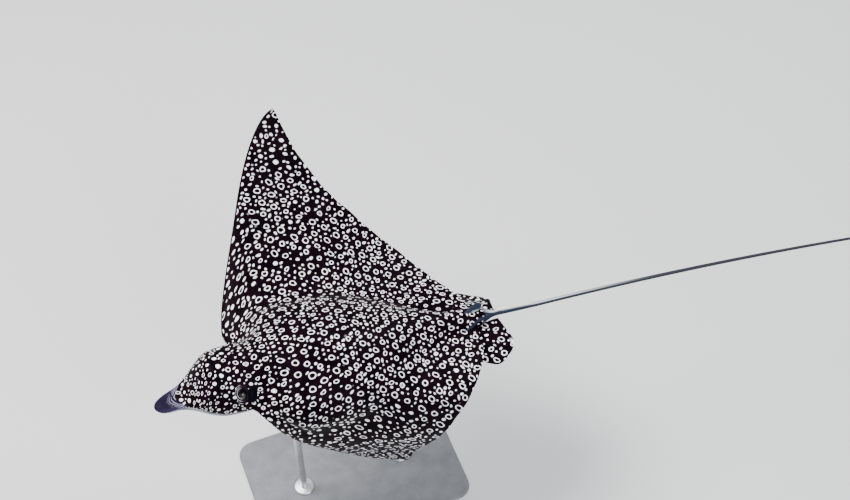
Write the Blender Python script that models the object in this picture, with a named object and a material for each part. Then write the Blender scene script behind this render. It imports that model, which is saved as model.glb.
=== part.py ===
"""Spotted eagle ray at life size, held on a plain display stand.

The animal is drawn flat first, in fractions of its disc width: station a runs back from the
tip of the snout, offset s runs out from the midline and z runs up from the wings' mid-plane.
Its wings are then bent about slanting hinge lines. The head faces -Y, the tail +Y and the
left wing +X. The origin is the centre of the underside of the stand's base.
"""
import math

import bmesh
import bpy
import numpy as np
from mathutils import Vector

DISC_WIDTH = 1.60        # metres between the wing tips when they lie flat
FLIGHT_HEIGHT = 0.78     # of the wings' mid-plane above the floor
ORIGIN_STATION = 0.36    # the station that stands over the origin
CUT = 0.0002             # each piece stops this far short of a shared cut

# Outline, in disc widths
SNOUT_END = 0.058        # where the flat bill meets the forehead
WING_START = 0.1646      # where the wing's leading edge leaves the head
TIP_STATION = 0.352
WING_END = 0.628
HEAD_HALF = 0.068
BILL_HALF = 0.0218
WING_REACH = 0.4995
REAR_CORNER = 0.067      # offset of the wing's rounded inner rear corner
LEAD_POWER = 1.70        # above 1: the leading edge bows forward
TRAIL_POWER = 0.94
BODY_END = 0.650
EDGE_LEVEL = -0.012      # the wings' mid-plane lies a little under the body's middle
THIN_EDGE = 0.0006       # half the thickness of a fin's edge

# The bends of each wing: where one begins, out from the hinge, over what width it turns,
# and by how many degrees, down positive
WING_BENDS = {
    "left": ((0.02, 0.09, 77.0), (0.11, 0.15, 33.0), (0.36, 0.14, 9.0)),
    "right": ((0.02, 0.05, 11.0), (0.07, 0.08, -33.0), (0.12, 0.20, -18.0), (0.26, 0.24, -11.0)),
}
HINGE_STATION = 0.30
ROOT_FADE = 0.05         # the bend comes in over this width beside the trunk
BODY_PITCH = -7.0        # degrees, tail down negative
HINGE_SLANT = {"left": 20.0, "right": 0.5}
ROOT_FORWARD = {"left": 0.0, "right": 0.0175}  # the wing's front root is drawn forward

# Tail, stings, fins and eyes, in disc widths
PELVIC_START = 0.590
PELVIC_LENGTH = 0.099
PELVIC_WIDTH = 0.097
PELVIC_LEVEL = -0.0240
PELVIC_DROOP = {"left": 0.08, "right": 0.44}
TAIL_CUTS = (0.80, 1.55, 2.45)
TAIL_SAG = 0.025
TAIL_DRIFT = 0.040
TAIL_RADII = (
    (BODY_END, 0.0100),
    (0.674, 0.0058),
    (0.74, 0.0044),
    (1.00, 0.0038),
    (1.55, 0.0028),
    (2.45, 0.0009),
)
EYE_STATION = 0.148
EYE_OFFSET = 0.0487
EYE_LEVEL = 0.0198
EYE_RADIUS = 0.0105

# Stand, in metres
BASE_SIZE = (0.46, 0.70, 0.010)
BASE_CORNER = 0.05
ROD_RADIUS = 0.012
ROD_STATIONS = {"stand_rod_front": 0.255, "stand_rod_rear": 0.470}
SEAT_DEPTH = 0.016


def smooth(x):
    x = np.clip(x, 0.0, 1.0)
    return x * x * (3.0 - 2.0 * x)


def head_half(a):
    """Half-width of the head: a round-tipped bill that widens into the forehead and cheeks."""
    bill = BILL_HALF * np.sqrt(1.0 - (1.0 - np.clip(a / 0.040, 0.0, 1.0)) ** 2)
    cheeks = (HEAD_HALF - BILL_HALF - 0.006) * smooth((a - 0.035) / 0.085)
    return bill + cheeks + 0.006 * smooth((a - 0.10) / (WING_START - 0.10))


def outline(a):
    """Half-width of the flat animal at station a."""
    a = np.asarray(a, dtype=float)
    head = head_half(a)
    x = np.clip((a - WING_START) / (TIP_STATION - WING_START), 0.0, 1.0)
    leading = HEAD_HALF + (WING_REACH - HEAD_HALF) * (1.0 - (1.0 - x) ** LEAD_POWER)
    y = np.clip((WING_END - a) / (WING_END - TIP_STATION), 0.0, 1.0)
    sweep = 0.78 * y ** TRAIL_POWER + 0.22 * y ** 8
    corner = np.clip((a - WING_END + 0.030) / 0.030, 0.0, 1.0)
    trailing = (REAR_CORNER + (WING_REACH - REAR_CORNER) * sweep) * np.sqrt(1.0 - corner ** 4)
    return np.where(a < WING_START, head, np.where(a < TIP_STATION, leading, trailing))


TRAIL_STATIONS = np.linspace(WING_END, TIP_STATION, 240)
TRAIL_OFFSETS = outline(TRAIL_STATIONS)


def body_half(a):
    """Half-width of the rounded body under the wings."""
    head = head_half(a)
    swell = 0.110 * smooth((a - WING_START) / 0.10)
    taper = 0.157 * smooth((a - 0.30) / 0.325)
    return head + swell - taper - 0.006 * smooth((a - WING_END) / 0.020)


def root_half(a):
    """Offset of the cut between trunk and wing."""
    return HEAD_HALF + 0.006 * smooth((a - 0.17) / 0.12) - 0.054 * smooth((a - 0.32) / 0.33)


def flat_levels(a, s):
    """Top and bottom of the flat animal at station a and offset s."""
    back = -0.024 + 0.086 * smooth((a - 0.037) / 0.07) + 0.013 * smooth((a - 0.10) / 0.17)
    back = back - 0.059 * smooth((a - 0.30) / 0.34)
    belly = -0.040 - 0.014 * smooth(a / 0.20) + 0.034 * smooth((a - 0.30) / 0.34)
    edge = EDGE_LEVEL - 0.020 * (1.0 - smooth(a / 0.07))
    bill = np.sqrt(1.0 - (1.0 - np.clip(a / 0.020, 0.0, 1.0)) ** 2)
    shape = 0.5 + 0.93 * (smooth((a - 0.12) / 0.12) - smooth((a - 0.56) / 0.06))
    across = np.clip(np.abs(s) / body_half(a), 0.0, 1.0)
    bell = (1.0 - across ** 2) ** shape
    reach = np.clip((np.abs(s) - HEAD_HALF) / (WING_REACH - HEAD_HALF), 0.0, 1.0)
    front = WING_START + (TIP_STATION - WING_START) * (1.0 - (1.0 - reach) ** (1.0 / LEAD_POWER))
    rear = np.interp(np.abs(s), TRAIL_OFFSETS, TRAIL_STATIONS)
    chord = np.clip((a - front) / np.maximum(rear - front, 1e-6), 0.0, 1.0)
    foil = 2.969 * np.sqrt(chord) - 1.26 * chord - 3.516 * chord ** 2
    foil = foil + 2.843 * chord ** 3 - 1.036 * chord ** 4
    thick = (0.002 + 0.024 * (1.0 - reach)) * np.clip(foil, 0.0, 1.0)
    thick = np.where(a < WING_START, 0.0, thick) + THIN_EDGE
    top = edge + np.hypot((back - edge) * bell * bill, thick)
    bottom = edge - np.hypot((belly - edge) * bell * bill, thick)
    return top, bottom


def bend_slope(side, a, s):
    """Slope of a wing at station a and offset s: none over the trunk, then by distance out."""
    slant = math.radians(HINGE_SLANT[side])
    away = s * math.cos(slant) - (a - HINGE_STATION) * math.sin(slant)
    bends = [turn * smooth((away - start) / width) for start, width, turn in WING_BENDS[side]]
    return np.radians(sum(bends)) * smooth((s - 0.9 * root_half(a)) / ROOT_FADE)


def place(x, y, z):
    """Point in metres from disc widths, with the whole animal pitched about its middle."""
    pitch = math.radians(BODY_PITCH)
    turned_y = y * math.cos(pitch) - z * math.sin(pitch)
    turned_z = y * math.sin(pitch) + z * math.cos(pitch)
    return Vector((x * DISC_WIDTH, turned_y * DISC_WIDTH, FLIGHT_HEIGHT + turned_z * DISC_WIDTH))


def pose(a, s, z):
    """Point in metres for station a, signed offset s (left positive) and level z."""
    side = "left" if s >= 0.0 else "right"
    sign = 1.0 if s >= 0.0 else -1.0
    slant = math.radians(HINGE_SLANT[side])
    steps = np.linspace(0.0, abs(s), 61)
    lean = bend_slope(side, a, steps)
    middle = 0.5 * (lean[1:] + lean[:-1])
    step = steps[1] - steps[0]
    lateral = np.sum(np.cos(middle) * math.cos(slant) ** 2 + math.sin(slant) ** 2) * step
    behind = np.sum(1.0 - np.cos(middle)) * math.sin(slant) * math.cos(slant) * step
    height = -np.sum(np.sin(middle)) * math.cos(slant) * step
    tilt = float(lean[-1])
    reach = smooth((abs(s) - 0.060) / 0.050) * (1.0 - smooth((abs(s) - 0.11) / 0.22))
    behind = behind - ROOT_FORWARD[side] * reach * smooth((0.40 - a) / 0.22)
    lateral = lateral + z * math.sin(tilt) * math.cos(slant)
    behind = behind - z * math.sin(tilt) * math.sin(slant)
    height = height + z * math.cos(tilt)
    return place(sign * lateral, a + behind - ORIGIN_STATION, height)


def add_material(obj, colour, roughness, metallic=0.0):
    material = bpy.data.materials.new(obj.name)
    material.use_nodes = True
    shader = material.node_tree.nodes["Principled BSDF"]
    shader.inputs["Base Color"].default_value = (*colour, 1.0)
    shader.inputs["Roughness"].default_value = roughness
    shader.inputs["Metallic"].default_value = metallic
    obj.data.materials.append(material)


def make_object(name, mesh_builder, colour, roughness, metallic=0.0):
    """New object from a bmesh, with outward faces and smooth shading up to 55 degrees."""
    bmesh.ops.recalc_face_normals(mesh_builder, faces=mesh_builder.faces)
    mesh = bpy.data.meshes.new(name)
    mesh_builder.to_mesh(mesh)
    mesh_builder.free()
    mesh.shade_smooth()
    mesh.set_sharp_from_angle(angle=math.radians(55.0))
    obj = bpy.data.objects.new(name, mesh)
    bpy.context.scene.collection.objects.link(obj)
    add_material(obj, colour, roughness, metallic)
    return obj


def ladder_solid(name, tops, bottoms, colour, roughness):
    """Closed solid between two sheets of points, each a list of rows of equal length.

    Walls and end caps are split along the same diagonal in every piece, so that two pieces
    that share a cut keep the same gap all along it.
    """
    build = bmesh.new()
    upper = [[build.verts.new(p) for p in row] for row in tops]
    lower = [[build.verts.new(p) for p in row] for row in bottoms]
    rows = len(upper)
    columns = len(upper[0])
    for i in range(rows - 1):
        for j in range(columns - 1):
            build.faces.new((upper[i][j], upper[i][j + 1], upper[i + 1][j + 1], upper[i + 1][j]))
            build.faces.new((lower[i][j], lower[i + 1][j], lower[i + 1][j + 1], lower[i][j + 1]))
        for j in (0, columns - 1):
            build.faces.new((upper[i][j], upper[i + 1][j], lower[i + 1][j]))
            build.faces.new((upper[i][j], lower[i + 1][j], lower[i][j]))
    for i in (0, rows - 1):
        for j in range(columns - 1):
            build.faces.new((upper[i][j], upper[i][j + 1], lower[i][j + 1]))
            build.faces.new((upper[i][j], lower[i][j + 1], lower[i][j]))
    return make_object(name, build, colour, roughness)


def body_piece(name, stations, offsets_at, colour, roughness):
    """Piece of the animal over the given stations; offsets_at(a) gives its row of offsets."""
    tops = []
    bottoms = []
    for a in stations:
        top_row = []
        bottom_row = []
        for s in offsets_at(a):
            top, bottom = flat_levels(a, s)
            top_row.append(pose(a, s, float(top)))
            bottom_row.append(pose(a, s, float(bottom)))
        tops.append(top_row)
        bottoms.append(bottom_row)
    return ladder_solid(name, tops, bottoms, colour, roughness)


def eased(start, end, count):
    """Values from start to end, closer together at both ends."""
    turn = np.linspace(0.0, math.pi, count)
    return start + (end - start) * (0.45 * turn / math.pi + 0.55 * 0.5 * (1.0 - np.cos(turn)))


def fractions(count):
    """Fractions from 0 to 1, closer together towards 1, as round an ellipse."""
    return np.sin(np.linspace(0.0, 0.5 * math.pi, count))


HIDE_DARK = (0.030, 0.022, 0.032)
HIDE_ROUGH = 0.45
CUT_FLAT = CUT / DISC_WIDTH
WING_STATIONS = np.concatenate([
    eased(WING_START + 0.0015, TIP_STATION, 18),
    eased(TIP_STATION, WING_END - 0.0015, 18)[1:],
])


def full_row(half, count):
    f = fractions(count)
    return np.concatenate([-f[:0:-1], f]) * half


def build_head():
    stations = np.concatenate([[0.0012], np.linspace(0.004, SNOUT_END - CUT_FLAT, 8)])
    body_piece("snout", stations, lambda a: full_row(float(outline(a)), 7), (0.10, 0.11, 0.16), 0.5)
    stations = np.linspace(SNOUT_END + CUT_FLAT, WING_START - CUT_FLAT, 12)
    return body_piece("head", stations, lambda a: full_row(float(outline(a)), 7), HIDE_DARK, HIDE_ROUGH)


def build_trunk():
    rear = np.linspace(WING_END, BODY_END - CUT_FLAT, 4)
    stations = np.concatenate([[WING_START + CUT_FLAT], WING_STATIONS, rear])

    def offsets(a):
        if a > WING_END - 0.001:
            return full_row(float(body_half(a)), 7)
        return full_row(float(root_half(a)) - CUT_FLAT, 7)

    return body_piece("trunk", stations, offsets, HIDE_DARK, HIDE_ROUGH)


def build_wings():
    for side, sign in (("left", 1.0), ("right", -1.0)):

        def offsets(a):
            inner = float(root_half(a)) + CUT_FLAT
            outer = max(float(outline(a)), inner + 0.002)
            return sign * eased(inner, outer, 13)

        body_piece("wing_" + side, WING_STATIONS, offsets, HIDE_DARK, HIDE_ROUGH)


def build_pelvic_fins():
    """Two rounded fins that reach back beside the tail from under the wings' rear corners."""
    for side, sign in (("left", 1.0), ("right", -1.0)):
        tops = []
        bottoms = []
        for along in eased(0.0, 1.0, 12):
            root = PELVIC_START + along * PELVIC_LENGTH * 0.88
            beside_tail = float(smooth((root - 0.640) / 0.020))
            inner = float(body_half(min(root, BODY_END))) * (1.0 - beside_tail)
            inner = inner + 0.0080 * beside_tail + 0.0014
            swell = math.sin(math.pi * (0.05 + 0.90 * along)) ** 0.34
            outer = inner + PELVIC_WIDTH * swell * (0.68 + 0.32 * along)
            top_row = []
            bottom_row = []
            for f in fractions(8):
                a = PELVIC_START + along * PELVIC_LENGTH * (0.88 + 0.12 * f)
                s = inner + (outer - inner) * f
                half = THIN_EDGE + 0.0018 * math.sqrt(max(0.0, 1.0 - f * f)) * swell
                level = PELVIC_LEVEL + 0.008 * along - PELVIC_DROOP[side] * (s - inner)
                top_row.append(pose(a, sign * s, level + half))
                bottom_row.append(pose(a, sign * s, level - half))
            tops.append(top_row)
            bottoms.append(bottom_row)
        ladder_solid("pelvic_fin_" + side, tops, bottoms, HIDE_DARK, HIDE_ROUGH)


def tail_level(a):
    """Level of the tail's axis, which sags a little along its length."""
    beyond = a - BODY_END
    return -0.008 - 0.001 * float(smooth(beyond / 0.10)) - TAIL_SAG * beyond ** 2


def build_tail():
    starts = (BODY_END,) + TAIL_CUTS[:-1]
    counts = (9, 9, 10)
    radii_at = [knot[0] for knot in TAIL_RADII]
    radii = [knot[1] for knot in TAIL_RADII]
    for name, start, end, count in zip(("tail_base", "tail_middle", "tail_tip"), starts, TAIL_CUTS, counts):
        build = bmesh.new()
        rings = []
        for a in np.linspace(start + CUT_FLAT, end - CUT_FLAT, count):
            radius = float(np.interp(a, radii_at, radii))
            level = tail_level(a)
            ring = []
            for k in range(10):
                turn = 2.0 * math.pi * k / 10
                point = pose_tail(a, radius * math.cos(turn), level + radius * math.sin(turn))
                ring.append(build.verts.new(point))
            rings.append(ring)
        for near, far in zip(rings, rings[1:]):
            for k in range(10):
                build.faces.new((near[k], near[(k + 1) % 10], far[(k + 1) % 10], far[k]))
        build.faces.new(rings[0])
        build.faces.new(rings[-1])
        make_object(name, build, (0.12, 0.13, 0.16), 0.5)


def pose_tail(a, s, z):
    """The tail leaves on the midline, clear of the wings' bend, and trails off to the left."""
    beyond = max(0.0, a - BODY_END)
    drift = 0.004 * float(smooth(beyond / 0.10)) + TAIL_DRIFT * beyond ** 2
    return place(s + drift, a - ORIGIN_STATION, z)


def build_dorsal_fin():
    """Small fin on the root of the tail: a leaning blade with a rounded tip."""
    tops = []
    bottoms = []
    for along in np.linspace(0.0, 1.0, 7):
        row = []
        under = []
        for height in fractions(6):
            a = 0.604 + 0.031 * along * (1.0 - 0.45 * height ** 2) + 0.015 * height
            base = float(flat_levels(0.604 + 0.031 * along, 0.003)[0]) + 0.0006
            level = base + 0.025 * height * (0.80 + 0.20 * math.sin(math.pi * along))
            half = 0.0006 + 0.0022 * (1.0 - 0.8 * height) * math.sin(math.pi * (0.06 + 0.88 * along))
            row.append(pose_tail(a, half, level))
            under.append(pose_tail(a, -half, level))
        tops.append(row)
        bottoms.append(under)
    ladder_solid("dorsal_fin", tops, bottoms, (0.05, 0.06, 0.10), 0.5)


def build_stings():
    """Two flat tapering spines that lie along the top of the tail behind the dorsal fin."""
    stings = (("sting_upper", 0.672, 0.085, 0.0040), ("sting_lower", 0.680, 0.070, 0.0020))
    for name, start, length, lift in stings:
        tops = []
        bottoms = []
        for k in range(10):
            t = k / 9.0
            a = start + length * t
            radius = float(np.interp(a, [knot[0] for knot in TAIL_RADII], [knot[1] for knot in TAIL_RADII]))
            level = tail_level(a) + radius + lift + 0.0008 * t
            half = 0.0022 * (1.0 - 0.85 * t ** 1.5)
            thick = 0.0009 * (1.0 - 0.6 * t)
            offsets = np.linspace(-half, half, 4)
            tops.append([pose_tail(a, s, level + thick * (1.0 - 0.5 * (s / half) ** 2)) for s in offsets])
            bottoms.append([pose_tail(a, s, level - 0.5 * thick) for s in offsets])
        ladder_solid(name, tops, bottoms, (0.62, 0.60, 0.52), 0.4)


def build_eyes(head):
    for side, sign in (("left", 1.0), ("right", -1.0)):
        centre = pose(EYE_STATION, sign * EYE_OFFSET, EYE_LEVEL)
        build = bmesh.new()
        radius = EYE_RADIUS * DISC_WIDTH
        bmesh.ops.create_uvsphere(build, u_segments=12, v_segments=8, radius=radius)
        eye = make_object("eye_" + side, build, (0.02, 0.02, 0.025), 0.1)
        eye.rotation_euler = (0.0, math.radians(90.0), 0.0)
        eye.location = centre
        build = bmesh.new()
        bmesh.ops.create_uvsphere(build, u_segments=12, v_segments=8, radius=radius + 0.0004)
        socket = make_object("socket_" + side, build, HIDE_DARK, HIDE_ROUGH)
        socket.rotation_euler = (0.0, math.radians(90.0), 0.0)
        socket.location = centre
        socket.hide_render = True
        socket.display_type = "WIRE"
        cut = head.modifiers.new("socket_" + side, "BOOLEAN")
        cut.object = socket
        cut.solver = "EXACT"


def build_base():
    """Flat plate with rounded corners and a chamfered top edge."""
    build = bmesh.new()
    corner_steps = 6
    outlines = []
    for inset, level in ((0.0, 0.0), (0.0, BASE_SIZE[2] - 0.003), (0.003, BASE_SIZE[2])):
        ring = []
        for quarter in range(4):
            cx = (BASE_SIZE[0] / 2 - BASE_CORNER) * (1 if quarter in (0, 3) else -1)
            cy = (BASE_SIZE[1] / 2 - BASE_CORNER) * (1 if quarter in (0, 1) else -1)
            for k in range(corner_steps + 1):
                turn = math.pi / 2 * (quarter + k / corner_steps)
                radius = BASE_CORNER - inset
                x = cx + radius * math.cos(turn)
                y = cy + radius * math.sin(turn)
                ring.append(build.verts.new((x, y, level)))
        outlines.append(ring)
    count = len(outlines[0])
    for low, high in zip(outlines, outlines[1:]):
        for k in range(count):
            build.faces.new((low[k], low[(k + 1) % count], high[(k + 1) % count], high[k]))
    build.faces.new(outlines[0])
    build.faces.new(outlines[-1])
    make_object("stand_base", build, (0.16, 0.17, 0.18), 0.4, 0.8)


def build_rods(trunk):
    """Turned rods with a foot, each seated in a blind hole in the belly."""
    sides = 18
    for name, station in ROD_STATIONS.items():
        belly = pose(station, 0.0, float(flat_levels(station, 0.0)[1]))
        top = belly.z + SEAT_DEPTH
        foot = BASE_SIZE[2] + 0.0003
        profile = (
            (0.034, foot), (0.034, foot + 0.005), (0.031, foot + 0.008),
            (ROD_RADIUS, foot + 0.010), (ROD_RADIUS, top - 0.002), (ROD_RADIUS - 0.002, top),
        )
        build = bmesh.new()
        rings = []
        for radius, level in profile:
            ring = []
            for k in range(sides):
                turn = 2.0 * math.pi * k / sides
                ring.append(build.verts.new((radius * math.cos(turn), radius * math.sin(turn), level)))
            rings.append(ring)
        for low, high in zip(rings, rings[1:]):
            for k in range(sides):
                build.faces.new((low[k], low[(k + 1) % sides], high[(k + 1) % sides], high[k]))
        build.faces.new(rings[0])
        build.faces.new(rings[-1])
        rod = make_object(name, build, (0.55, 0.56, 0.58), 0.3, 1.0)
        rod.location = (belly.x, belly.y, 0.0)
        build = bmesh.new()
        bmesh.ops.create_cone(
            build, cap_ends=True, segments=sides, radius1=ROD_RADIUS + 0.0004, radius2=ROD_RADIUS + 0.0004,
            depth=0.10,
        )
        seat = make_object(name.replace("stand_rod", "seat"), build, HIDE_DARK, HIDE_ROUGH)
        seat.location = (belly.x, belly.y, top + 0.0003 - 0.05)
        seat.hide_render = True
        seat.display_type = "WIRE"
        cut = trunk.modifiers.new(seat.name, "BOOLEAN")
        cut.object = seat
        cut.solver = "EXACT"


def build_ray():
    head = build_head()
    trunk = build_trunk()
    build_wings()
    build_pelvic_fins()
    build_tail()
    build_dorsal_fin()
    build_stings()
    build_eyes(head)
    build_base()
    build_rods(trunk)


for old in list(bpy.data.objects):
    bpy.data.objects.remove(old)
build_ray()
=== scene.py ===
import math

import bmesh
import bpy
import numpy as np
from mathutils import Matrix, Vector


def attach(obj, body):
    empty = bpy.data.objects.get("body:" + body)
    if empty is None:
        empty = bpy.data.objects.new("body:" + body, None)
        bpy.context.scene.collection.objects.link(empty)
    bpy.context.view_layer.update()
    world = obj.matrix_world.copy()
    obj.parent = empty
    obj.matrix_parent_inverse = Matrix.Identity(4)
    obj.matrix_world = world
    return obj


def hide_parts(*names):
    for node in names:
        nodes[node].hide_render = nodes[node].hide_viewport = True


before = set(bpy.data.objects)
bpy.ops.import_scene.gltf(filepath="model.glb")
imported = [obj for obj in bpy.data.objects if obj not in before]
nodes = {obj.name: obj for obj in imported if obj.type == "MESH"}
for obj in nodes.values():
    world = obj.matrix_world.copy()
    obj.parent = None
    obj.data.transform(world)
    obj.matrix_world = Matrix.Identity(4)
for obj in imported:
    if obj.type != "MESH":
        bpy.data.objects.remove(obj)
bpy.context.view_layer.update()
scene = bpy.context.scene
print("frame loaded:", len(nodes), "nodes")

# The animal is drawn flat in fractions of its disc width: a runs back from the snout's tip,
# s out from the midline (its left is positive) and z up. Then its wings are bent.
ray = {
    "discWidth": 1.60,
    "flightHeight": 0.78,
    "originStation": 0.36,
    "pitch": -7.0,
    "wingStart": 0.1646,
    "tipStation": 0.352,
    "wingEnd": 0.628,
    "headHalf": 0.068,
    "billHalf": 0.0218,
    "wingReach": 0.4995,
    "rearCorner": 0.067,
    "leadPower": 1.70,
    "trailPower": 0.94,
    "bodyEnd": 0.650,
    "edgeLevel": -0.012,
    "thinEdge": 0.0006,
    "tailEnd": 2.4498,
}

# A bend is how far out from the hinge it begins, its width and its degrees, down positive
wingBend = {
    "hingeStation": 0.30,
    "rootShare": 0.9,
    "rootFade": 0.05,
    "steps": 60,
    "left": {
        "slant": 20.0,
        "forward": 0.0,
        "bends": ((0.02, 0.09, 77.0), (0.11, 0.15, 33.0), (0.36, 0.14, 9.0)),
    },
    "right": {
        "slant": 0.5,
        "forward": 0.0175,  # the wing's front root is drawn forward
        "bends": ((0.02, 0.05, 11.0), (0.07, 0.08, -33.0), (0.12, 0.20, -18.0), (0.26, 0.24, -11.0)),
    },
}


def smooth(x):
    x = np.clip(x, 0.0, 1.0)
    return x * x * (3.0 - 2.0 * x)


def rounded(x):  # a quarter circle from 0 to 1
    return np.sqrt(1.0 - (1.0 - np.clip(x, 0.0, 1.0)) ** 2)


def mix(low, high, share):
    return low + (high - low) * share


def headHalf(a):
    bill = ray["billHalf"] * rounded(a / 0.040)
    cheeks = (ray["headHalf"] - ray["billHalf"] - 0.006) * smooth((a - 0.035) / 0.085)
    return bill + cheeks + 0.006 * smooth((a - 0.10) / (ray["wingStart"] - 0.10))


def discHalf(a):  # half-width of the flat disc, wings and all
    x = np.clip((a - ray["wingStart"]) / (ray["tipStation"] - ray["wingStart"]), 0.0, 1.0)
    span = ray["wingReach"] - ray["headHalf"]
    leading = ray["headHalf"] + span * (1.0 - (1.0 - x) ** ray["leadPower"])
    y = np.clip((ray["wingEnd"] - a) / (ray["wingEnd"] - ray["tipStation"]), 0.0, 1.0)
    sweep = 0.78 * y ** ray["trailPower"] + 0.22 * y ** 8
    corner = np.clip((a - ray["wingEnd"] + 0.030) / 0.030, 0.0, 1.0)
    trailing = ray["rearCorner"] + (ray["wingReach"] - ray["rearCorner"]) * sweep
    trailing = trailing * np.sqrt(1.0 - corner ** 4)
    return np.where(a < ray["wingStart"], headHalf(a), np.where(a < ray["tipStation"], leading, trailing))


def bodyHalf(a):  # half-width of the rounded body between the wings
    swell = 0.110 * smooth((a - ray["wingStart"]) / 0.10)
    taper = 0.157 * smooth((a - 0.30) / 0.325)
    return headHalf(a) + swell - taper - 0.006 * smooth((a - ray["wingEnd"]) / 0.020)


def rootHalf(a):
    return ray["headHalf"] + 0.006 * smooth((a - 0.17) / 0.12) - 0.054 * smooth((a - 0.32) / 0.33)


rearStations = np.linspace(ray["wingEnd"], ray["tipStation"], 240)
rearOffsets = discHalf(rearStations)


def chordShare(a, s):  # 0 at the wing's leading edge, 1 at its trailing edge
    reach = np.clip((np.abs(s) - ray["headHalf"]) / (ray["wingReach"] - ray["headHalf"]), 0.0, 1.0)
    run = ray["tipStation"] - ray["wingStart"]
    front = ray["wingStart"] + run * (1.0 - (1.0 - reach) ** (1.0 / ray["leadPower"]))
    rear = np.interp(np.abs(s), rearOffsets, rearStations)
    return reach, np.clip((a - front) / np.maximum(rear - front, 1e-6), 0.0, 1.0)


def flatLevels(a, s):
    back = -0.024 + 0.086 * smooth((a - 0.037) / 0.07) + 0.013 * smooth((a - 0.10) / 0.17)
    back = back - 0.059 * smooth((a - 0.30) / 0.34)
    belly = -0.040 - 0.014 * smooth(a / 0.20) + 0.034 * smooth((a - 0.30) / 0.34)
    edge = ray["edgeLevel"] - 0.020 * (1.0 - smooth(a / 0.07))
    bill = rounded(a / 0.020)
    shape = 0.5 + 0.93 * (smooth((a - 0.12) / 0.12) - smooth((a - 0.56) / 0.06))
    across = np.clip(np.abs(s) / np.maximum(bodyHalf(a), 1e-6), 0.0, 1.0)
    bell = (1.0 - across ** 2) ** shape
    reach, chord = chordShare(a, s)
    foil = 2.969 * np.sqrt(chord) - 1.26 * chord - 3.516 * chord ** 2
    foil = foil + 2.843 * chord ** 3 - 1.036 * chord ** 4
    thick = (0.002 + 0.024 * (1.0 - reach)) * np.clip(foil, 0.0, 1.0)
    thick = np.where(a < ray["wingStart"], 0.0, thick) + ray["thinEdge"]
    top = edge + np.hypot((back - edge) * bell * bill, thick)
    bottom = edge - np.hypot((belly - edge) * bell * bill, thick)
    return top, bottom, edge


def inMetres(x, y, z):  # the whole animal pitches about its middle
    pitch = math.radians(ray["pitch"])
    turnedY = y * math.cos(pitch) - z * math.sin(pitch)
    turnedZ = y * math.sin(pitch) + z * math.cos(pitch)
    flat = np.stack([x, turnedY, turnedZ], axis=-1) * ray["discWidth"]
    return flat + np.array([0.0, 0.0, ray["flightHeight"]])


def bendWings(a, s, z):
    lateral = np.zeros_like(a)
    behind = np.zeros_like(a)
    height = np.zeros_like(a)
    for side, sign in (("left", 1.0), ("right", -1.0)):
        pick = (s >= 0.0) if sign > 0 else (s < 0.0)
        bend = wingBend[side]
        slant = math.radians(bend["slant"])
        aa = a[pick]
        out = np.abs(s[pick])
        steps = np.linspace(0.0, 1.0, wingBend["steps"] + 1)[None, :] * out[:, None]
        away = steps * math.cos(slant) - (aa[:, None] - wingBend["hingeStation"]) * math.sin(slant)
        lean = sum(turn * smooth((away - start) / width) for start, width, turn in bend["bends"])
        root = wingBend["rootShare"] * rootHalf(aa)[:, None]
        lean = np.radians(lean) * smooth((steps - root) / wingBend["rootFade"])
        middle = 0.5 * (lean[:, 1:] + lean[:, :-1])
        step = out / wingBend["steps"]
        x = np.sum(np.cos(middle) * math.cos(slant) ** 2 + math.sin(slant) ** 2, axis=1) * step
        y = np.sum(1.0 - np.cos(middle), axis=1) * math.sin(slant) * math.cos(slant) * step
        h = -np.sum(np.sin(middle), axis=1) * math.cos(slant) * step
        tilt = lean[:, -1]
        reach = smooth((out - 0.060) / 0.050) * (1.0 - smooth((out - 0.11) / 0.22))
        y = y - bend["forward"] * reach * smooth((0.40 - aa) / 0.22)
        lateral[pick] = sign * (x + z[pick] * np.sin(tilt) * math.cos(slant))
        behind[pick] = y - z[pick] * np.sin(tilt) * math.sin(slant)
        height[pick] = h + z[pick] * np.cos(tilt)
    return inMetres(lateral, a + behind - ray["originStation"], height)


# Tail: it leaves on the midline, sags a little and trails off to the left
tail = {
    "at": (0.650, 0.674, 0.74, 1.00, 1.55, 2.45),
    "radius": (0.0100, 0.0058, 0.0044, 0.0038, 0.0028, 0.0009),
    "level": -0.008,
    "dip": 0.001,
    "aside": 0.004,
    "easeLength": 0.10,
    "sag": 0.025,
    "drift": 0.040,
    "joinStart": 0.632,
    "joinLength": 0.034,
    "tipRound": 0.002,
    "rimRound": 0.0012,
}


def tailLevel(a):
    beyond = np.maximum(a - ray["bodyEnd"], 0.0)
    return tail["level"] - tail["dip"] * smooth(beyond / tail["easeLength"]) - tail["sag"] * beyond ** 2


def tailDrift(a):
    beyond = np.maximum(a - ray["bodyEnd"], 0.0)
    return tail["aside"] * smooth(beyond / tail["easeLength"]) + tail["drift"] * beyond ** 2


def tailRadius(a):
    return np.interp(a, tail["at"], tail["radius"])


def tailJoin(a):  # 0 on the body, 1 on the tail
    return smooth((a - tail["joinStart"]) / tail["joinLength"])


def trailing(a, s, z):  # what isn't on the wings follows the tail's drift
    return inMetres((s + tailDrift(a)).ravel(), (a - ray["originStation"]).ravel(), z.ravel())


def skinHalf(a):
    disc = np.where(a > ray["wingStart"], np.maximum(discHalf(a), bodyHalf(a)), discHalf(a))
    tip = np.sqrt(np.clip((ray["tailEnd"] - a) / tail["tipRound"], 0.0, 1.0))
    return mix(disc, tailRadius(a), tailJoin(a)) * tip


def rimShare(s, half):  # 0 on the midline, 1 at the outline
    return np.clip(np.abs(s) / np.maximum(half, 1e-9), 0.0, 1.0)


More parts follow.
